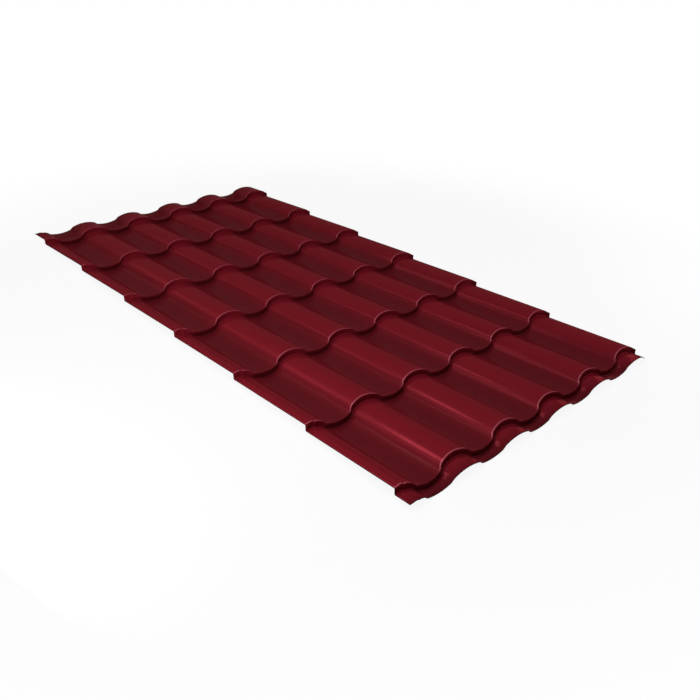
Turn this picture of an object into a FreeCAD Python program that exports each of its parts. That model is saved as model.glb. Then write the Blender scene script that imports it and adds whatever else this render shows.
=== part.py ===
import FreeCAD, Part
import math
import os

# Tile effect metal roofing sheet, pressed from one coil of prepainted steel.
# Waves run up the slope like rows of tiles and steps cross them like tile edges.
# X runs across the slope, Y up the slope from eave to ridge, and Z up.
# The origin is under the middle of the sheet, on the floor that it lies on.
# All sizes are in millimetres and all angles in degrees.

# The stock
sheet_thickness = 0.5

# Along the slope
module_length = 350.0        # from one step line to the next
module_count = 6             # whole tile rows
eave_length = 33.0           # from the lowest step line down to the eave cut
ridge_length = 127.0         # from the highest step line up to the ridge cut

# The pressed steps
step_height = 20.0           # drop from one tile row to the next
step_lean = 1.5              # how far a step's foot stands nearer the eave than its lip
step_line_angle = 45.0       # lean of the plane that each step line lies in, back from upright
step_wall_run = 1.05         # distance up the slope between a step's outer and inner faces

# The waves across the slope
wave_pitch = 220.0           # from one crest to the next
wave_count = 5               # whole waves, which is the cover of the sheet
wave_height = 25.5           # from the bottom of a trough to the top of a crest
crest_width = 106.0          # between the two creases that edge a crest
crest_bulge = 9.7            # height of a crest above its creases
trough_width = 92.0          # between the two creases that edge a trough
trough_sag = 6.5             # depth of a trough below its creases

# The left side lap, under the next sheet: a low edge strip and a groove that drains the lap
left_lap = 3.0               # from the left edge to the middle of the first crest
edge_strip_width = 14.0
edge_strip_drop = 2.2        # of the strip below the top of the crest
edge_ramp_width = 8.0        # slanting up from the strip to the crest
groove_start = 27.0          # from the middle of the first crest
groove_width = 12.0          # at the top of the groove
groove_floor = 4.0           # width of the groove's floor
groove_depth = 2.2

# The right side lap, over the next sheet
right_flange = 3.0           # level strip beyond the foot of the last crest

# Worked out from the sizes above
slope = math.atan(step_height / module_length)
lean = math.tan(math.radians(step_line_angle))
flank_width = (wave_pitch - crest_width - trough_width) / 2.0
cover_width = wave_pitch * wave_count
full_width = left_lap + cover_width + crest_width / 2.0 + flank_width + right_flange
full_length = module_length * module_count + eave_length + ridge_length
left_edge = -full_width / 2.0
first_crest = left_edge + left_lap
eave_edge = -full_length / 2.0
crest_radius = (crest_width ** 2 / 4.0 + crest_bulge ** 2) / (2.0 * crest_bulge)
trough_radius = (trough_width ** 2 / 4.0 + trough_sag ** 2) / (2.0 * trough_sag)
step_drop = FreeCAD.Vector(0, -step_lean, step_lean * math.tan(slope) - step_height)
wall_depth = step_wall_run * math.tan(slope) + sheet_thickness / math.cos(slope)
wall_depth = wall_depth / (1.0 + lean * math.tan(slope))     # of a step's inner lip below its outer one
lip_height = wall_depth - step_drop.z        # of the troughs' upper side above the floor
near = 1e-4                  # how close a point counts as on a plane
margin = 3.0 * (wave_height + step_height)   # how far cutting blocks reach past the sheet


class Piece:
    """One stretch of the section: a straight line, or an arc with a centre above or below it."""

    def __init__(self, start, end, centre=None, radius=0.0):
        self.start = start
        self.end = end
        self.centre = centre
        self.radius = radius    # positive on a crest, negative in a trough

    def normal(self, x, z):
        """Unit vector away from the sheet's underside, at a point of this piece."""
        if self.centre is None:
            run = self.end[0] - self.start[0]
            rise = self.end[1] - self.start[1]
            size = math.hypot(run, rise)
            return (-rise / size, run / size)
        return ((x - self.centre[0]) / self.radius, (z - self.centre[1]) / self.radius)

    def middle(self):
        """Point of an arc above the middle of its chord."""
        x = (self.start[0] + self.end[0]) / 2.0
        reach = math.sqrt(self.radius ** 2 - (x - self.centre[0]) ** 2)
        return (x, self.centre[1] + math.copysign(reach, self.radius))


def crest_point(x, crest):
    """Point of the section at x on the crest arc centred at crest."""
    return (x, wave_height - crest_radius + math.sqrt(crest_radius ** 2 - (x - crest) ** 2))


def crest_arc(crest, start, end):
    """Piece of a crest arc between two places measured from its centre."""
    centre = (crest, wave_height - crest_radius)
    return Piece(crest_point(crest + start, crest), crest_point(crest + end, crest), centre, crest_radius)


def straight_pieces(corners):
    """Straight pieces of the section from corner to corner."""
    return [Piece(start, end) for start, end in zip(corners, corners[1:])]


def left_lap_pieces():
    """The left half of the first crest: edge strip, ramp and drain groove."""
    strip_height = wave_height - edge_strip_drop
    strip_end = edge_strip_width - left_lap
    ramp_end = strip_end + edge_ramp_width
    strip = [(-left_lap, strip_height), (strip_end, strip_height), crest_point(ramp_end, 0.0)]
    mouth = [crest_point(groove_start, 0.0), crest_point(groove_start + groove_width, 0.0)]
    wall = (groove_width - groove_floor) / 2.0
    floor_height = (mouth[0][1] + mouth[1][1]) / 2.0 - groove_depth
    floor = [(mouth[0][0] + wall, floor_height), (mouth[1][0] - wall, floor_height)]
    pieces = straight_pieces(strip)
    pieces.append(crest_arc(0.0, ramp_end, groove_start))
    pieces += straight_pieces([mouth[0], floor[0], floor[1], mouth[1]])
    pieces.append(crest_arc(0.0, groove_start + groove_width, crest_width / 2.0))
    return pieces


def section_pieces():
    """The section of the sheet's upper side from the left edge to the right edge."""
    half_crest = crest_width / 2.0
    flank_top = wave_height - crest_bulge
    pieces = left_lap_pieces()
    for wave in range(wave_count):
        trough = wave_pitch * (wave + 0.5)
        crest = wave_pitch * (wave + 1)
        trough_start = (trough - trough_width / 2.0, trough_sag)
        trough_end = (trough + trough_width / 2.0, trough_sag)
        crest_start = (crest - half_crest, flank_top)
        pieces.append(Piece(pieces[-1].end, trough_start))
        pieces.append(Piece(trough_start, trough_end, (trough, trough_radius), -trough_radius))
        pieces.append(Piece(trough_end, crest_start))
        pieces.append(crest_arc(crest, -half_crest, half_crest))
    flange_start = (cover_width + half_crest + flank_width, trough_sag)
    pieces.append(Piece(pieces[-1].end, flange_start))
    pieces.append(Piece(flange_start, (flange_start[0] + right_flange, trough_sag)))
    return pieces


def sunk(point, normals, depth):
    """A point of the section moved down square to the sheet, on the mitre of its two sides."""
    across = sum(n[0] for n in normals)
    up = sum(n[1] for n in normals)
    share = depth * len(normals) / (across ** 2 + up ** 2)
    return (point[0] - across * share, point[1] - up * share)


def section_wire(depth):
    """The section as a wire in the XZ plane, at a depth below the sheet's upper side."""
    pieces = section_pieces()
    corners = []
    for index in range(len(pieces) + 1):
        sides = pieces[max(index - 1, 0):index + 1]
        joint = sides[-1].start if index < len(pieces) else sides[-1].end
        corners.append(sunk(joint, [side.normal(*joint) for side in sides], depth))
    edges = []
    for piece, start, end in zip(pieces, corners, corners[1:]):
        first = FreeCAD.Vector(first_crest + start[0], 0, start[1])
        last = FreeCAD.Vector(first_crest + end[0], 0, end[1])
        if piece.centre is None:
            edges.append(Part.makeLine(first, last))
        else:
            top = piece.middle()
            x, z = sunk(top, [piece.normal(*top)], depth)
            edges.append(Part.Arc(first, FreeCAD.Vector(first_crest + x, 0, z), last).toShape())
    return Part.Wire(edges)


def lip_place(step):
    """Bottom of the middle of a trough on a step line, on the upper side. Step 0 is the lowest."""
    return FreeCAD.Vector(0, eave_edge + eave_length + step * module_length, lip_height)


def cutting_line(place, lean_run):
    """Two points, low and high, on a cutting plane that passes through a place across the sheet."""
    low = FreeCAD.Vector(0, place.y - margin * lean_run, place.z - margin)
    high = FreeCAD.Vector(0, place.y + margin * lean_run, place.z + margin)
    return [low, high]


def row_limits(row, shift):
    """Cutting lines at the lower and upper end of a tile row, moved up the slope by shift."""
    along = FreeCAD.Vector(0, shift, 0)
    if row < 0:
        lower = cutting_line(FreeCAD.Vector(0, eave_edge, 0), 0.0)
    else:
        lower = cutting_line(lip_place(row) + along, lean)
    if row == module_count:
        upper = cutting_line(FreeCAD.Vector(0, eave_edge + full_length, 0), 0.0)
    else:
        upper = cutting_line(lip_place(row + 1) + step_drop + along, lean)
    return lower, upper


def row_skin(row, depth, shift):
    """One tile row of the sheet's upper or lower side, cut off at its step lines."""
    skin = section_wire(depth).extrude(FreeCAD.Vector(0, 3.0 * module_length, 0))
    skin.translate(FreeCAD.Vector(0, -module_length, 0))
    skin.rotate(FreeCAD.Vector(0, 0, 0), FreeCAD.Vector(1, 0, 0), -math.degrees(slope))
    skin.translate(lip_place(row))
    lower, upper = row_limits(row, shift)
    corners = [lower[0], upper[0], upper[1], lower[1], lower[0]]
    block = Part.Face(Part.makePolygon(corners)).extrude(FreeCAD.Vector(2.0 * full_width, 0, 0))
    block.translate(FreeCAD.Vector(-full_width, 0, 0))
    return skin.common(block)


def in_cut(edge, line):
    """Whether an edge lies in the plane across the sheet that a cutting line gives."""
    along = (line[1] - line[0]).normalize()
    across = FreeCAD.Vector(0, along.z, -along.y)
    return all(abs((vertex.Point - line[0]).dot(across)) < near for vertex in edge.Vertexes)


def sheet_side(depth, shift):
    """Faces of the upper or the lower side, and its edges at the eave and at the ridge."""
    faces = []
    ends = {}
    for row in range(-1, module_count + 1):
        skin = row_skin(row, depth, shift)
        lower, upper = row_limits(row, shift)
        faces += skin.Faces
        lip = [edge for edge in skin.Edges if in_cut(edge, lower)]
        if row < 0:
            ends["eave"] = lip
        else:
            faces += [edge.extrude(step_drop) for edge in lip]
    ends["ridge"] = [edge for edge in skin.Edges if in_cut(edge, upper)]
    return faces, ends


def edges_at(faces, x):
    """The edges along one side of the sheet."""
    edges = [edge for face in faces for edge in face.Edges]
    return [edge for edge in edges if all(abs(vertex.Point.x - x) < near for vertex in edge.Vertexes)]


def cut_face(upper, lower):
    """The narrow flat face between the upper and the lower edges of a cut."""
    chains = [Part.Wire(Part.__sortEdges__(edges)) for edges in (upper, lower)]
    ends = [[chain.OrderedVertexes[0].Point, chain.OrderedVertexes[-1].Point] for chain in chains]
    if ends[0][0].distanceToPoint(ends[1][0]) > ends[0][0].distanceToPoint(ends[1][1]):
        ends[1].reverse()
    closing = [Part.makeLine(top, bottom) for top, bottom in zip(*ends)]
    return Part.Face(Part.Wire(Part.__sortEdges__(upper + lower + closing)))


def tile_sheet():
    """The whole sheet as one closed solid."""
    upper_faces, upper_ends = sheet_side(0.0, 0.0)
    lower_faces, lower_ends = sheet_side(sheet_thickness, step_wall_run)
    cuts = [cut_face(upper_ends[end], lower_ends[end]) for end in ("eave", "ridge")]
    for x in (left_edge, left_edge + full_width):
        cuts.append(cut_face(edges_at(upper_faces, x), edges_at(lower_faces, x)))
    shell = Part.makeShell(upper_faces + lower_faces + cuts)
    shell.sewShape()
    return Part.makeSolid(shell)


os.makedirs("parts", exist_ok=True)
sheet = tile_sheet()
sheet.exportStep("parts/tile_sheet.step")
print("valid", sheet.isValid(), "closed", sheet.isClosed(), "volume", round(sheet.Volume))
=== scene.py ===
import math

import bpy
from mathutils import Matrix, Vector


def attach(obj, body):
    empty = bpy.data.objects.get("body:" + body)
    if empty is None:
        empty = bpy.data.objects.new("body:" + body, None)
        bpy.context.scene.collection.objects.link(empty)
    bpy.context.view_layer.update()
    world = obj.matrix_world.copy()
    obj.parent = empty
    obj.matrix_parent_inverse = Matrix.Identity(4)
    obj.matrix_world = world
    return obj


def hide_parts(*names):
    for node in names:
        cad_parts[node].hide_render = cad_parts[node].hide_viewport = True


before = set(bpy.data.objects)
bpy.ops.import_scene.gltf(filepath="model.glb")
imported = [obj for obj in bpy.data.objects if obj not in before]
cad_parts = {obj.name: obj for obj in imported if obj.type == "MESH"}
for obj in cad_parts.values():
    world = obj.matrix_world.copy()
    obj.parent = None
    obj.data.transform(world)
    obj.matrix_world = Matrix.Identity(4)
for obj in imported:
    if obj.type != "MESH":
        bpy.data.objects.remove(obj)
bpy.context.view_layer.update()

# Tile effect metal roofing sheet: one sheet of thin wine red steel, waved across the slope
# and stepped along it. X runs across the slope, Y up it from eave to ridge, Z up.

MM = 0.001

# Along the slope
MODULE_LENGTH = 350 * MM         # from one step's lip to the next
MODULE_COUNT = 6
EAVE_LENGTH = 33 * MM            # from the lowest lip down to the eave cut
RIDGE_LENGTH = 127 * MM          # from the highest lip up to the ridge cut
STEP_HEIGHT = 20 * MM
STEP_LEAN = 1.5 * MM             # how far a step's foot stands nearer the eave than its lip
LINE_SLANT = 1.0                 # run of each step line's plane for its rise
LIP_HEIGHT = 20.445 * MM         # of the troughs at each lip, above the floor
LIP_RADIUS = 2.0 * MM            # of the pressed bend at each lip, where a row ends
LIP_BORDER = 3.5 * MM            # from a lip's sharp corner to the flat metal beside its bend
FOOT_RADIUS = 3.0 * MM           # of the bend at the foot of each step
FOOT_BORDER = 4.5 * MM           # from a foot's sharp corner to the flat metal beside its bend

# The points of the slope line at each step
STEP_CORNERS = 2                 # the foot and the lip
CORNER_POINTS = 3                # the corner itself and the flat metal at either side of it
BEND_CUTS = 6                    # points on the arc of each bend

# Across the slope
WAVE_PITCH = 220 * MM
WAVE_COUNT = 5
WAVE_HEIGHT = 25.5 * MM
CREST_WIDTH = 106 * MM           # between the two creases that edge a crest
CREST_BULGE = 9.7 * MM           # height of a crest above its creases
TROUGH_WIDTH = 92 * MM           # between the two creases that edge a trough
TROUGH_SAG = 6.5 * MM            # depth of a trough below its creases
SHOULDER_SOFTNESS = 2.4 * MM     # of the crease between a crest and its flank
TROUGH_SOFTNESS = 1.2 * MM       # of the crease between a flank and its trough

# The left side lap, under the next sheet: an edge strip, a ramp and a drain groove
LEFT_LAP = 3 * MM                # from the left edge to the middle of the first crest
STRIP_WIDTH = 14 * MM
STRIP_DROP = 2.2 * MM            # of the strip below the top of the crest
STRIP_SOFTNESS = 0.15 * MM       # of the creases beside the ramp
RAMP_WIDTH = 8 * MM              # slanting up from the strip to the crest
GROOVE_START = 27 * MM           # from the middle of the first crest
GROOVE_WIDTH = 12 * MM
GROOVE_WALL = 5.5 * MM
GROOVE_DEPTH = 1.6 * MM

# The right side lap, over the next sheet
RIGHT_FLANGE = 3 * MM            # level strip beyond the foot of the last crest

STEEL_THICKNESS = 0.5 * MM

# Worked out from the sizes above
FLANK_WIDTH = (WAVE_PITCH - CREST_WIDTH - TROUGH_WIDTH) / 2
COVER_WIDTH = WAVE_PITCH * WAVE_COUNT
FULL_WIDTH = LEFT_LAP + COVER_WIDTH + CREST_WIDTH / 2 + FLANK_WIDTH + RIGHT_FLANGE
FULL_LENGTH = MODULE_LENGTH * MODULE_COUNT + EAVE_LENGTH + RIDGE_LENGTH
LEFT_EDGE = -FULL_WIDTH / 2
RIGHT_EDGE = LEFT_EDGE + FULL_WIDTH
FIRST_CREST = LEFT_EDGE + LEFT_LAP
EAVE_EDGE = -FULL_LENGTH / 2

# How finely the section is cut
WIDEST_CUT = 7.5 * MM            # between two places across the sheet
CREASE_REACHES = [reach * MM for reach in (0.4, 1.2, 2.4, 3.8, 5.4)]   # of the cuts beside a crease
GROOVE_WALL_CUTS = 4
WELD_DISTANCE = 0.01 * MM        # between points that become one


def arc_radius(width, height):
    """Radius of the arc that stands so high over a chord so wide."""
    return (width ** 2 / 4 + height ** 2) / (2 * height)


class Term:
    """A value of a node tree. Sums, products and powers of terms add the nodes for them."""

    def __init__(self, web, socket):
        self.web = web
        self.socket = socket

    def out(self, name):
        """Another output of the node that this value comes from."""
        return Term(self.web, self.socket.node.outputs[name])

    def __add__(self, other):
        return self.web.math("ADD", self, other)

    def __radd__(self, other):
        return self.web.math("ADD", other, self)

    def __sub__(self, other):
        return self.web.math("SUBTRACT", self, other)

    def __rsub__(self, other):
        return self.web.math("SUBTRACT", other, self)

    def __mul__(self, other):
        return self.web.math("MULTIPLY", self, other)

    def __rmul__(self, other):
        return self.web.math("MULTIPLY", other, self)

    def __truediv__(self, other):
        return self.web.math("DIVIDE", self, other)

    def __rtruediv__(self, other):
        return self.web.math("DIVIDE", other, self)

    def __pow__(self, other):
        return self.web.math("POWER", self, other)

    def __lt__(self, other):
        return self.web.math("LESS_THAN", self, other)

    def __gt__(self, other):
        return self.web.math("GREATER_THAN", self, other)

    def __neg__(self):
        return self.web.math("MULTIPLY", self, -1.0)

    def __abs__(self):
        return self.web.math("ABSOLUTE", self)


class Web:
    """The nodes of one tree, added one by one."""

    def __init__(self, tree):
        self.tree = tree

    def add(self, kind, settings=None, values=None, output=0):
        """A node of this kind, its settings made first, then its sockets set or linked.

        What comes back is one of its outputs, by place or by name.
        """
        node = self.tree.nodes.new(kind)
        for name, setting in (settings or {}).items():
            setattr(node, name, setting)
        for name, value in (values or {}).items():
            if isinstance(value, Term):
                self.tree.links.new(value.socket, node.inputs[name])
            else:
                node.inputs[name].default_value = value
        return Term(self, node.outputs[output]) if len(node.outputs) else None

    def math(self, operation, *values):
        return self.add("ShaderNodeMath", {"operation": operation}, dict(enumerate(values)))

    def root(self, value):
        return self.math("SQRT", value)

    def least(self, one, other):
        return self.math("MINIMUM", one, other)

    def most(self, one, other):
        return self.math("MAXIMUM", one, other)

    def soft_least(self, one, other, softness):
        return self.math("SMOOTH_MIN", one, other, softness)

    def soft_most(self, one, other, softness):
        return self.math("SMOOTH_MAX", one, other, softness)

    def whole(self, value):
        return self.math("FLOOR", value)

    def parts(self, vector):
        """The X, Y and Z of a vector."""
        split = self.add("ShaderNodeSeparateXYZ", values={0: vector})
        return split, split.out("Y"), split.out("Z")

    def vector(self, x, y, z):
        return self.add("ShaderNodeCombineXYZ", values={0: x, 1: y, 2: z})

    def move(self, geometry, place):
        """The geometry with each point at its new place."""
        return self.add("GeometryNodeSetPosition", values={"Geometry": geometry, "Position": place})

    def store(self, geometry, name, value, kind="FLOAT"):
        """The geometry with a value kept on each point, under a name."""
        return self.add("GeometryNodeStoreNamedAttribute", {"data_type": kind, "domain": "POINT"},
                        {"Geometry": geometry, "Name": name, "Value": value})

    def stored(self, name, kind="FLOAT"):
        return self.add("GeometryNodeInputNamedAttribute", {"data_type": kind}, {"Name": name})

    def sample(self, geometry, value, index):
        """A vector that the geometry has at the point of this index."""
        return self.add("GeometryNodeSampleIndex", {"data_type": "FLOAT_VECTOR", "domain": "POINT"},
                        {"Geometry": geometry, "Value": value, "Index": index})

    def point_count(self, geometry, component):
        return self.add("GeometryNodeAttributeDomainSize", {"component": component},
                        {"Geometry": geometry}, "Point Count")


# The pressed sheet

PRESS_SIZES = {
    "Module Length": MODULE_LENGTH,
    "Eave Length": EAVE_LENGTH,
    "Ridge Length": RIDGE_LENGTH,
    "Step Height": STEP_HEIGHT,
    "Step Lean": STEP_LEAN,
    "Line Slant": LINE_SLANT,
    "Lip Height": LIP_HEIGHT,
    "Lip Radius": LIP_RADIUS,
    "Lip Border": LIP_BORDER,
    "Foot Radius": FOOT_RADIUS,
    "Foot Border": FOOT_BORDER,
    "Wave Pitch": WAVE_PITCH,
    "Wave Height": WAVE_HEIGHT,
    "Crest Width": CREST_WIDTH,
    "Crest Radius": arc_radius(CREST_WIDTH, CREST_BULGE),
    "Crest Bulge": CREST_BULGE,
    "Trough Width": TROUGH_WIDTH,
    "Trough Radius": arc_radius(TROUGH_WIDTH, TROUGH_SAG),
    "Trough Sag": TROUGH_SAG,
    "Shoulder Softness": SHOULDER_SOFTNESS,
    "Trough Softness": TROUGH_SOFTNESS,
    "First Crest": FIRST_CREST,
    "Cover Width": COVER_WIDTH,
    "Strip End": STRIP_WIDTH - LEFT_LAP,
    "Strip Drop": STRIP_DROP,
    "Strip Softness": STRIP_SOFTNESS,
    "Ramp Width": RAMP_WIDTH,
    "Groove Start": GROOVE_START,
    "Groove Width": GROOVE_WIDTH,
    "Groove Wall": GROOVE_WALL,
    "Groove Depth": GROOVE_DEPTH,
    "Eave Edge": EAVE_EDGE,
    "Steel Thickness": STEEL_THICKNESS,
    "Weld Distance": WELD_DISTANCE,
}
PRESS_COUNTS = {"Step Lines": MODULE_COUNT + 1, "Bend Cuts": BEND_CUTS}
PRESS_FINISHES = ("Face Coat", "Back Coat", "Cut Edge")


def crest_height(web, size, from_crest):
    """Height of a crest's arc at a distance from the middle of the crest."""
    radius = size["Crest Radius"]
    return size["Wave Height"] - radius + web.root(radius ** 2 - from_crest ** 2)


def section_height(web, size, across):
    """Height of the section at a place measured from the middle of the first crest."""
    half_crest = size["Crest Width"] / 2
    half_trough = size["Trough Width"] / 2
    half_pitch = size["Wave Pitch"] / 2
    flank_run = half_pitch - half_crest - half_trough
    from_crest = web.math("PINGPONG", across, half_pitch)
    crest = crest_height(web, size, from_crest)
    from_trough = web.least(half_pitch - from_crest, half_trough + flank_run)
    trough_radius = size["Trough Radius"]
    trough = trough_radius - web.root(trough_radius ** 2 - from_trough ** 2)
    shoulder = size["Wave Height"] - size["Crest Bulge"]
    flank = shoulder - (from_crest - half_crest) * (shoulder - size["Trough Sag"]) / flank_run
    wave = web.soft_least(crest, flank, size["Shoulder Softness"])
    wave = web.soft_most(wave, trough, size["Trough Softness"])
    # the edge strip under the next sheet, and the ramp from it up to the crest
    strip = size["Wave Height"] - size["Strip Drop"]
    ramp_top = crest_height(web, size, size["Strip End"] + size["Ramp Width"])
    ramp = web.most(across - size["Strip End"], 0.0) * (ramp_top - strip) / size["Ramp Width"]
    wave = web.soft_least(wave, strip + ramp, size["Strip Softness"])
    # the drain groove
    groove_end = size["Groove Start"] + size["Groove Width"]
    wall = web.least(across - size["Groove Start"], groove_end - across) / size["Groove Wall"]
    groove = web.add("ShaderNodeMapRange", {"interpolation_type": "SMOOTHSTEP"}, {"Value": wall})
    middle = size["Groove Start"] + size["Groove Width"] / 2
    floor = crest_height(web, size, middle) - size["Groove Depth"]
    wave = wave + groove * (floor - wave)
    # the level flange beyond the last flank
    beyond = across > size["Cover Width"] + half_crest + flank_run / 2
    return web.most(wave, beyond * size["Trough Sag"])


def slope_line(web, size, count):
    """The line that the bottom of a trough follows, with its bends, from eave to ridge.

    Each step has two corners, first its foot and then its lip. Each corner has three points:
    one on the flat metal below it, the corner itself, which is rounded, and one above it.
    """
    tangent = size["Step Height"] / size["Module Length"]
    cosine = 1.0 / web.root(1.0 + tangent ** 2)
    sine = tangent * cosine
    drop = size["Step Lean"] * tangent - size["Step Height"]
    wall = web.root(size["Step Lean"] ** 2 + drop ** 2)
    points = count["Step Lines"] * (STEP_CORNERS * CORNER_POINTS) + 2
    line = web.add("GeometryNodeMeshLine", values={"Count": points})
    # which point this is: an end, or one of a corner's three
    place = web.add("GeometryNodeInputIndex") + 0.0
    at_eave = place < 0.5
    at_ridge = place > points - 1.5
    at_step = 1.0 - at_eave - at_ridge
    corner = web.whole((place - 1.0) / CORNER_POINTS)
    side = (place - 1.0) - corner * CORNER_POINTS - 1.0     # -1 below the corner, 0 at it, 1 above it
    step = web.whole(corner / STEP_CORNERS)
    lip = corner - step * STEP_CORNERS              # 1 at a lip and 0 at a foot
    on_row = 1.0 - abs(lip - (side + 1.0) / 2)      # 1 on a tile row and 0 on a step's wall
    # where it lies
    first_lip = size["Eave Edge"] + size["Eave Length"]
    lip_y = first_lip + step * size["Module Length"]
    reach = side * (size["Foot Border"] + lip * (size["Lip Border"] - size["Foot Border"]))
    along_y = on_row * cosine + (1.0 - on_row) * size["Step Lean"] / wall
    along_z = (1.0 - on_row) * (-drop) / wall - on_row * sine
    y = lip_y - (1.0 - lip) * size["Step Lean"] + reach * along_y
    z = size["Lip Height"] + (1.0 - lip) * drop + reach * along_z
    eave_z = size["Lip Height"] + drop + (size["Eave Length"] - size["Step Lean"]) * tangent
    ridge_z = size["Lip Height"] - size["Ridge Length"] * tangent
    last_lip = first_lip + (count["Step Lines"] - 1.0) * size["Module Length"]
    y = y * at_step + size["Eave Edge"] * at_eave + (last_lip + size["Ridge Length"]) * at_ridge
    z = z * at_step + eave_z * at_eave + ridge_z * at_ridge
    line = web.move(line, web.vector(0.0, y, z))
    # how far a point of the section moves for each unit of its height
    slant = (size["Line Slant"] * cosine - sine) / (cosine + size["Line Slant"] * sine)
    slant = slant * at_step - tangent * (at_eave + at_ridge)
    rise = web.vector(0.0, slant * cosine + sine, cosine - slant * sine)
    line = web.store(line, "rise", rise, "FLOAT_VECTOR")
    # the rounding of the corners
    radius = size["Foot Radius"] + lip * (size["Lip Radius"] - size["Foot Radius"])
    line = web.store(line, "bend", (abs(side) < 0.5) * at_step * radius)
    line = web.add("GeometryNodeMeshToCurve", values={"Mesh": line})
    bend = web.stored("bend")
    return web.add("GeometryNodeFilletCurve", {"mode": "POLY"},
                   {"Curve": line, "Count": (bend > 0.0) * count["Bend Cuts"], "Radius": bend})


def pressed_face(web, size, section, line):
    """The sheet's upper side: a grid with the section across it and the slope line along it."""
    columns = web.point_count(section, "MESH")
    rows = web.point_count(line, "CURVE")
    grid = web.add("GeometryNodeMeshGrid", values={"Vertices X": columns, "Vertices Y": rows})
    index = web.add("GeometryNodeInputIndex") + 0.0
    column = web.whole((index + 0.5) / rows)
    row = index - column * rows
    spot = web.add("GeometryNodeInputPosition")
    across, _, up = web.parts(web.sample(section, spot, column))
    _, line_y, line_z = web.parts(web.sample(line, spot, row))
    _, rise_y, rise_z = web.parts(web.sample(line, web.stored("rise", "FLOAT_VECTOR"), row))
    face = web.move(grid, web.vector(across, line_y + rise_y * up, line_z + rise_z * up))
    face = web.store(face, "hollow", 1.0 - up / size["Wave Height"])
    return web.store(face, "past_lip", line_y - (size["Eave Edge"] + size["Eave Length"]))


def press_tree():
    """The tree that presses a row of places across the sheet into the whole sheet."""
    tree = bpy.data.node_groups.new("press_tile_sheet", "GeometryNodeTree")
    panel = tree.interface
    panel.new_socket("Geometry", in_out="INPUT", socket_type="NodeSocketGeometry")
    for name in PRESS_SIZES:
        panel.new_socket(name, in_out="INPUT", socket_type="NodeSocketFloat")
    for name in PRESS_COUNTS:
        panel.new_socket(name, in_out="INPUT", socket_type="NodeSocketInt")
    for name in PRESS_FINISHES:
        panel.new_socket(name, in_out="INPUT", socket_type="NodeSocketMaterial")
    panel.new_socket("Geometry", in_out="OUTPUT", socket_type="NodeSocketGeometry")
    web = Web(tree)
    given = web.add("NodeGroupInput")
    size = {name: given.out(name) for name in PRESS_SIZES}
    count = {name: given.out(name) for name in PRESS_COUNTS}

    x, _, _ = web.parts(web.add("GeometryNodeInputPosition"))
    height = section_height(web, size, x - size["First Crest"])
    section = web.move(given.out("Geometry"), web.vector(x, 0.0, height))
    face = pressed_face(web, size, section, slope_line(web, size, count))
    # the back and the sides, pushed off the face and turned outwards, then joined to the face
    back = web.add("GeometryNodeExtrudeMesh", {"mode": "FACES"},
                   {"Mesh": face, "Offset": web.add("GeometryNodeInputNormal"),
                    "Offset Scale": -size["Steel Thickness"], "Individual": False})
    sheet = web.add("GeometryNodeJoinGeometry",
                    values={"Geometry": web.add("GeometryNodeFlipFaces", values={"Mesh": back})})
    tree.links.new(face.socket, sheet.socket.node.inputs["Geometry"])
    sheet = web.add("GeometryNodeMergeByDistance",
                    values={"Geometry": sheet, "Distance": size["Weld Distance"]})
    # the eave and ridge cut square
    x, y, z = web.parts(web.add("GeometryNodeInputPosition"))
    y = web.least(web.most(y, size["Eave Edge"]), -size["Eave Edge"])
    sheet = web.move(sheet, web.vector(x, y, z))
    sheet = web.add("GeometryNodeRealizeInstances", values={"Geometry": sheet})
    chosen = ({}, {"Selection": back.out("Top")}, {"Selection": back.out("Side")})
    for name, faces in zip(PRESS_FINISHES, chosen):
        sheet = web.add("GeometryNodeSetMaterial",
                        values={"Geometry": sheet, "Material": given.out(name), **faces})
    web.add("NodeGroupOutput", values={"Geometry": sheet})
    return tree


def places_across():
    """Places across the sheet, close together at the creases and even between them."""
    places = [LEFT_EDGE, RIGHT_EDGE]
    places += [FIRST_CREST + STRIP_WIDTH - LEFT_LAP, FIRST_CREST + STRIP_WIDTH - LEFT_LAP + RAMP_WIDTH]
    for cut in range(GROOVE_WALL_CUTS + 1):
        reach = GROOVE_WALL * cut / GROOVE_WALL_CUTS
        places += [FIRST_CREST + GROOVE_START + reach, FIRST_CREST + GROOVE_START + GROOVE_WIDTH - reach]
    for wave in range(WAVE_COUNT + 1):
        crest = FIRST_CREST + wave * WAVE_PITCH
        for offset in (CREST_WIDTH / 2, CREST_WIDTH / 2 + FLANK_WIDTH):
            for crease in (crest - offset, crest + offset):
                if LEFT_EDGE < crease < RIGHT_EDGE:
                    places += [crease + reach for reach in CREASE_REACHES if crease + reach < RIGHT_EDGE]
                    places += [crease - reach for reach in CREASE_REACHES]
    places.sort()
    even = places[:1]
    for place in places[1:]:
        start = even[-1]
        cuts = math.ceil((place - start) / WIDEST_CUT)
        even += [start + (place - start) * cut / cuts for cut in range(1, cuts + 1)]
    return even


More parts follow.
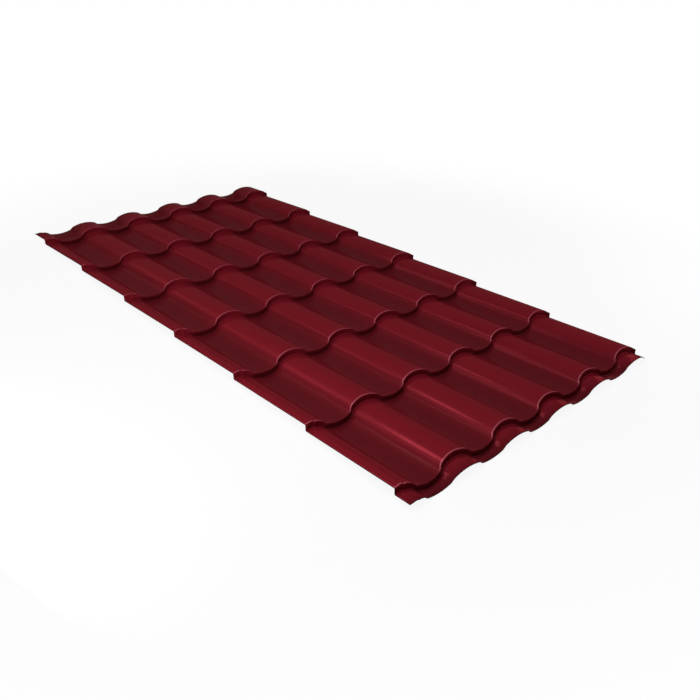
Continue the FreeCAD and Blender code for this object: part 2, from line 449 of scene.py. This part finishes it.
def pressed_sheet(finishes):
    """The sheet as a plain mesh: a row of places across it, pressed by the tree."""
    places = places_across()
    mesh = bpy.data.meshes.new("tile_sheet_face")
    mesh.from_pydata([(x, 0, 0) for x in places], [(i, i + 1) for i in range(len(places) - 1)], [])
    sheet = bpy.data.objects.new("tile_sheet_steel", mesh)
    bpy.context.scene.collection.objects.link(sheet)
    modifier = sheet.modifiers.new("press", "NODES")
    modifier.node_group = press_tree()
    chosen = {**PRESS_SIZES, **PRESS_COUNTS, **dict(zip(PRESS_FINISHES, finishes))}
    for item in modifier.node_group.interface.items_tree:
        if item.in_out == "INPUT" and item.name in chosen:
            modifier[item.identifier] = chosen[item.name]
    graph = bpy.context.evaluated_depsgraph_get()
    graph.update()
    pressed = bpy.data.meshes.new_from_object(sheet.evaluated_get(graph))
    sheet.modifiers.clear()
    sheet.data = pressed
    pressed.name = "tile_sheet_steel"
    pressed.materials.pop(index=0)      # an empty slot that no face uses
    for polygon in pressed.polygons:
        polygon.use_smooth = True
    return sheet


# Finishes

# The face's colours, with painted shade for the troughs and the cut edges, and how much of the trough's
# painted shade the deepest metal has
CREST_RED = (0.172, 0.0080, 0.0155, 1)
CREST_RED_PALE = (0.182, 0.0086, 0.0165, 1)
TROUGH_PAINTED_SHADE = (0.085, 0.0065, 0.0095, 1)
TROUGH_SHADE_STRENGTH = 0.8
COAT_TINT = (0.6, 0.03, 0.05, 1)
EDGE_PAINTED_SHADE = (0.022, 0.002, 0.003, 1)

# The painted highlight: a pale line just past each lip, and where it fades in and out
LIP_HIGHLIGHT_PINK = (0.36, 0.085, 0.115, 1)
LIP_HIGHLIGHT_STRENGTH = 0.85
LIP_HIGHLIGHT_START = (1.5 * MM, 3.0 * MM)
LIP_HIGHLIGHT_END = (5.0 * MM, 7.0 * MM)
LIP_HIGHLIGHT_HOLLOW = (0.5, 0.9)

# The face's gloss, and how it dulls towards the troughs
COAT_METALLIC = 0.12
COAT_ROUGHNESS = 0.17
COAT_GLAZE = 0.03
TROUGH_DULLNESS = 0.2
DULL_HOLLOW = (0.5, 0.85)

# How far in from the cut edges the painted shade on the face reaches
SIDE_SHADE_BAND = (3.0 * MM, 1.5 * MM)
END_SHADE_BAND = (2.5 * MM, 1.0 * MM)

# The face's unevenness: wide clouds, streaks drawn out along the slope, and a fine skin.
# Scales are in repeats a metre.
CLOUD_SCALE = 5.0
CLOUD_TONE = 0.6
CLOUD_ROUGHNESS = 0.04
STREAK_SCALE = 60.0
STREAK_SQUEEZE = (1.0, 0.12, 1.0)
STREAK_TONE = 0.4
STREAK_ROUGHNESS = 0.05
TONE_SPAN = 0.3
SKIN_SCALE = 900.0
SKIN_STRENGTH = 0.06
SKIN_DEPTH = 0.05 * MM

BACK_GREY = (0.36, 0.37, 0.36, 1)
BACK_GREY_PALE = (0.42, 0.43, 0.42, 1)
BACK_ROUGHNESS = 0.5
BACK_CLOUD_SCALE = 14.0
BACK_CLOUD_ROUGHNESS = 0.1
BACK_SKIN_SCALE = 700.0
BACK_SKIN_STRENGTH = 0.1

# Painted shade: the cut edge is coloured near black, between these two
CUT_EDGE_SHADE_DARK = (0.008, 0.003, 0.003, 1)
CUT_EDGE_SHADE_PALE = (0.03, 0.014, 0.014, 1)
CUT_GRAIN_SCALE = 2500.0
CUT_ROUGHNESS = 0.7
CUT_SHINE = 0.1


def finish(name):
    """An empty material and the web of its nodes."""
    material = bpy.data.materials.new(name)
    material.use_nodes = True
    material.node_tree.nodes.clear()
    return material, Web(material.node_tree)


def end_in(web, shader):
    web.add("ShaderNodeOutputMaterial", values={"Surface": shader})


def object_place(web):
    return web.add("ShaderNodeTexCoord", output="Object")


def noise(web, place, scale, detail):
    """A cloudy pattern between 0 and 1, round about 0.5."""
    return web.add("ShaderNodeTexNoise", {"noise_dimensions": "3D"},
                   {"Vector": place, "Scale": scale, "Detail": detail, "Roughness": 0.5})


def blend(web, share, one, other):
    """A colour that goes from one to the other as the share goes from 0 to 1."""
    return web.add("ShaderNodeMix", {"data_type": "RGBA"}, {"Factor": share, 6: one, 7: other}, output=2)


def attribute(web, name):
    return web.add("ShaderNodeAttribute", {"attribute_name": name}, output="Fac")


def bump(web, height, strength):
    return web.add("ShaderNodeBump", values={"Strength": strength, "Distance": SKIN_DEPTH, "Height": height})


def step_up(web, value, start, end):
    """A share that goes smoothly from 0 to 1 as the value goes from start to end."""
    return web.add("ShaderNodeMapRange", {"interpolation_type": "SMOOTHSTEP"},
                   {"Value": value, "From Min": start, "From Max": end})


def lip_highlight(web, hollow):
    """Where the highlight is painted: 1 on the line just past each lip and 0 off it, fading out towards the
    troughs.
    """
    half_module = 0.5 * MODULE_LENGTH
    past_lip = attribute(web, "past_lip") + half_module
    past_lip = web.math("FLOORED_MODULO", past_lip, MODULE_LENGTH) - half_module
    line = step_up(web, past_lip, *LIP_HIGHLIGHT_START) * (1.0 - step_up(web, past_lip, *LIP_HIGHLIGHT_END))
    return line * (1.0 - step_up(web, hollow, *LIP_HIGHLIGHT_HOLLOW))


def rim(web, place, edge, depths):
    """1 at an edge and its opposite, and 0 at more than the first of two depths in from them."""
    return step_up(web, abs(place), edge - depths[0], edge - depths[1])


def face_coat():
    """Wine red polyester baked onto the steel: satin, with painted shade in the troughs and along the cut
    edges, and a painted highlight just past each lip.
    """
    material, web = finish("wine_red_coat")
    place = object_place(web)
    drawn_out = web.add("ShaderNodeMapping", values={"Vector": place, "Scale": STREAK_SQUEEZE})
    skin = noise(web, place, SKIN_SCALE, detail=2.0)
    streaks = noise(web, drawn_out, STREAK_SCALE, detail=3.0) - 0.5
    clouds = noise(web, place, CLOUD_SCALE, detail=3.0) - 0.5
    hollow = attribute(web, "hollow")

    tone = clouds * CLOUD_TONE + streaks * STREAK_TONE
    tone = web.add("ShaderNodeMapRange",
                   values={"Value": tone, "From Min": -TONE_SPAN, "From Max": TONE_SPAN})
    colour = blend(web, tone, CREST_RED, CREST_RED_PALE)
    # Painted shade: the colour darkens towards the bottom of each trough
    colour = blend(web, hollow * TROUGH_SHADE_STRENGTH, colour, TROUGH_PAINTED_SHADE)
    # Painted highlight: a pale pink line just past each lip, on the crests
    colour = blend(web, lip_highlight(web, hollow) * LIP_HIGHLIGHT_STRENGTH, colour, LIP_HIGHLIGHT_PINK)
    x, y, _ = web.parts(place)
    # Painted shade: a dark band along the cut edges
    edge_shade = web.most(rim(web, x, FULL_WIDTH / 2, SIDE_SHADE_BAND), rim(web, y, FULL_LENGTH / 2, END_SHADE_BAND))
    colour = blend(web, edge_shade, colour, EDGE_PAINTED_SHADE)

    roughness = COAT_ROUGHNESS + clouds * CLOUD_ROUGHNESS + streaks * STREAK_ROUGHNESS
    roughness = roughness + step_up(web, hollow, *DULL_HOLLOW) * TROUGH_DULLNESS
    end_in(web, web.add("ShaderNodeBsdfPrincipled", values={
        "Base Color": colour,
        "Roughness": roughness,
        "Normal": bump(web, skin, SKIN_STRENGTH),
        "Metallic": COAT_METALLIC,
        "Coat Weight": COAT_GLAZE,
        "Coat Roughness": COAT_ROUGHNESS,
        "Specular IOR Level": 0.0,
        "Specular Tint": COAT_TINT,
    }))
    return material


def back_coat():
    """Thin pale grey backing coat on the underside."""
    material, web = finish("grey_backing_coat")
    place = object_place(web)
    clouds = noise(web, place, BACK_CLOUD_SCALE, detail=4.0)
    skin = noise(web, place, BACK_SKIN_SCALE, detail=2.0)
    end_in(web, web.add("ShaderNodeBsdfPrincipled", values={
        "Base Color": blend(web, clouds, BACK_GREY, BACK_GREY_PALE),
        "Roughness": BACK_ROUGHNESS + (clouds - 0.5) * BACK_CLOUD_ROUGHNESS,
        "Normal": bump(web, skin, BACK_SKIN_STRENGTH),
    }))
    return material


def cut_edge():
    """Cut edge of the steel, dulled, and coloured near black as painted shade."""
    material, web = finish("cut_steel_edge")
    grain = noise(web, object_place(web), CUT_GRAIN_SCALE, detail=2.0)
    end_in(web, web.add("ShaderNodeBsdfPrincipled", values={
        "Base Color": blend(web, grain, CUT_EDGE_SHADE_DARK, CUT_EDGE_SHADE_PALE),
        "Roughness": CUT_ROUGHNESS,
        "Specular IOR Level": CUT_SHINE,
    }))
    return material


# Floor, light and camera

WHITE = (1, 1, 1, 1)
FLOOR_GREY = (0.8, 0.8, 0.8, 1)
FLOOR_REACH = 60.0                       # from its middle to its edges, in metres
FLOOR_FADE = (1.1, 2.2)                  # distances from its middle where its shadow fades out
FLOOR_WHITENESS = (0.9, 1.0)             # share of plain white that is seen there
SKY_GLOW = 0.02                          # strength of the light that the surroundings cast

# Each lamp's name, with its place, what it points at, its width, height and watts
LAMPS = {
    "front_overhead_light": ((-1.5, -0.7, 2.8), (0, 0, 0), 2.4, 1.8, 44.0),
    "left_overhead_light": ((-1.15, 0.95, 2.83), (0, 0, 0), 1.3, 0.9, 11.0),
    "key_light": ((4.64, 12.92, 18.87), (-0.4, -1.0, 0), 2.25, 2.25, 315.0),
    "far_strip_light": ((0.9, 6.74, 4.47), (0, 0.3, 0), 0.7, 2.4, 12.0),
    "back_light": ((0, 1.9, 2.5), (0, 0, 0), 0.9, 0.9, 8.0),
    "near_light": ((-0.85, -0.9, 1.15), (-0.35, -0.9, 0), 0.6, 0.6, 3.2),
    "left_low_light": ((-1.45, -0.4, 0.12), (-0.435, -0.2, 0.03), 0.9, 0.16, 8.0),
    "right_light": ((1.45, -1.2, 0.5), (0.435, -0.6, 0.03), 0.9, 0.4, 4.0),
}

CAMERA_PLACE = (-1.66375, -2.02276, 1.2616)
CAMERA_AZIMUTH = -43.680                 # measured from the eave side, in degrees
CAMERA_ELEVATION = 29.976
CAMERA_ROLL = 2.3547
CAMERA_LENS = 38.048                     # in millimetres, as is the sensor's width
SENSOR_WIDTH = 36
VIEW_REACH = 100                         # how far the camera sees, in metres


def seen_rays(web):
    """1 where the camera, a reflection or a clear surface looks, and 0 where light is gathered."""
    path = web.add("ShaderNodeLightPath")
    looked_through = web.most(path.out("Is Glossy Ray"), path.out("Is Transmission Ray"))
    return web.most(path.out("Is Camera Ray"), looked_through)


def pale_floor():
    """A matt floor that takes the sheet's shadow and is seen nearly white."""
    mesh = bpy.data.meshes.new("floor")
    corners = [(-FLOOR_REACH, -FLOOR_REACH, 0), (FLOOR_REACH, -FLOOR_REACH, 0),
               (FLOOR_REACH, FLOOR_REACH, 0), (-FLOOR_REACH, FLOOR_REACH, 0)]
    mesh.from_pydata(corners, [], [(0, 1, 2, 3)])
    floor = bpy.data.objects.new("floor", mesh)
    bpy.context.scene.collection.objects.link(floor)
    material, web = finish("pale_floor")
    matt = web.add("ShaderNodeBsdfDiffuse", values={"Color": FLOOR_GREY})
    white = web.add("ShaderNodeEmission", values={"Color": WHITE, "Strength": 1.0})
    away = web.add("ShaderNodeVectorMath", {"operation": "LENGTH"}, {0: object_place(web)}, "Value")
    share = web.add("ShaderNodeMapRange", {"interpolation_type": "SMOOTHSTEP"},
                    {"Value": away, "From Min": FLOOR_FADE[0], "From Max": FLOOR_FADE[1],
                     "To Min": FLOOR_WHITENESS[0], "To Max": FLOOR_WHITENESS[1]})
    end_in(web, web.add("ShaderNodeMixShader", values={0: seen_rays(web) * share, 1: matt, 2: white}))
    mesh.materials.append(material)


def sky():
    """White surroundings, which give hardly any light."""
    world = bpy.data.worlds.new("studio")
    world.use_nodes = True
    world.node_tree.nodes.clear()
    web = Web(world.node_tree)
    strength = SKY_GLOW + (1.0 - SKY_GLOW) * seen_rays(web)
    shade = web.add("ShaderNodeBackground", values={"Color": WHITE, "Strength": strength})
    web.add("ShaderNodeOutputWorld", values={"Surface": shade})
    bpy.context.scene.world = world


def lamp(name, place, aim, width, height, power):
    """A rectangular lamp that points at its aim and isn't seen itself."""
    light = bpy.data.lights.new(name, "AREA")
    light.shape = "RECTANGLE"
    light.size = width
    light.size_y = height
    light.energy = power
    thing = bpy.data.objects.new(name, light)
    thing.location = place
    thing.rotation_euler = (Vector(aim) - Vector(place)).to_track_quat("-Z", "Y").to_euler()
    thing.visible_camera = False
    bpy.context.scene.collection.objects.link(thing)


def camera(place, azimuth, elevation, roll, lens):
    """A camera that looks at the sheet from an azimuth, measured from the eave side, and elevation."""
    turn, tip, tilt = (math.radians(angle) for angle in (azimuth, elevation, roll))
    back = Vector((math.sin(turn) * math.cos(tip), -math.cos(turn) * math.cos(tip), math.sin(tip)))
    right = Vector((0, 0, 1)).cross(back).normalized()
    up = back.cross(right)
    level = Matrix((right, up, back)).transposed()
    data = bpy.data.cameras.new("camera")
    data.lens = lens
    data.sensor_width = SENSOR_WIDTH
    data.clip_end = VIEW_REACH
    thing = bpy.data.objects.new("camera", data)
    thing.matrix_world = Matrix.Translation(place) @ (level @ Matrix.Rotation(tilt, 3, "Z")).to_4x4()
    bpy.context.scene.collection.objects.link(thing)
    bpy.context.scene.camera = thing


sheet = pressed_sheet((face_coat(), back_coat(), cut_edge()))
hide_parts("tile_sheet")
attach(sheet, "root")

pale_floor()
sky()
for name, settings in LAMPS.items():
    lamp(name, *settings)
camera(CAMERA_PLACE, CAMERA_AZIMUTH, CAMERA_ELEVATION, CAMERA_ROLL, CAMERA_LENS)

bpy.context.scene.view_settings.view_transform = "Standard"
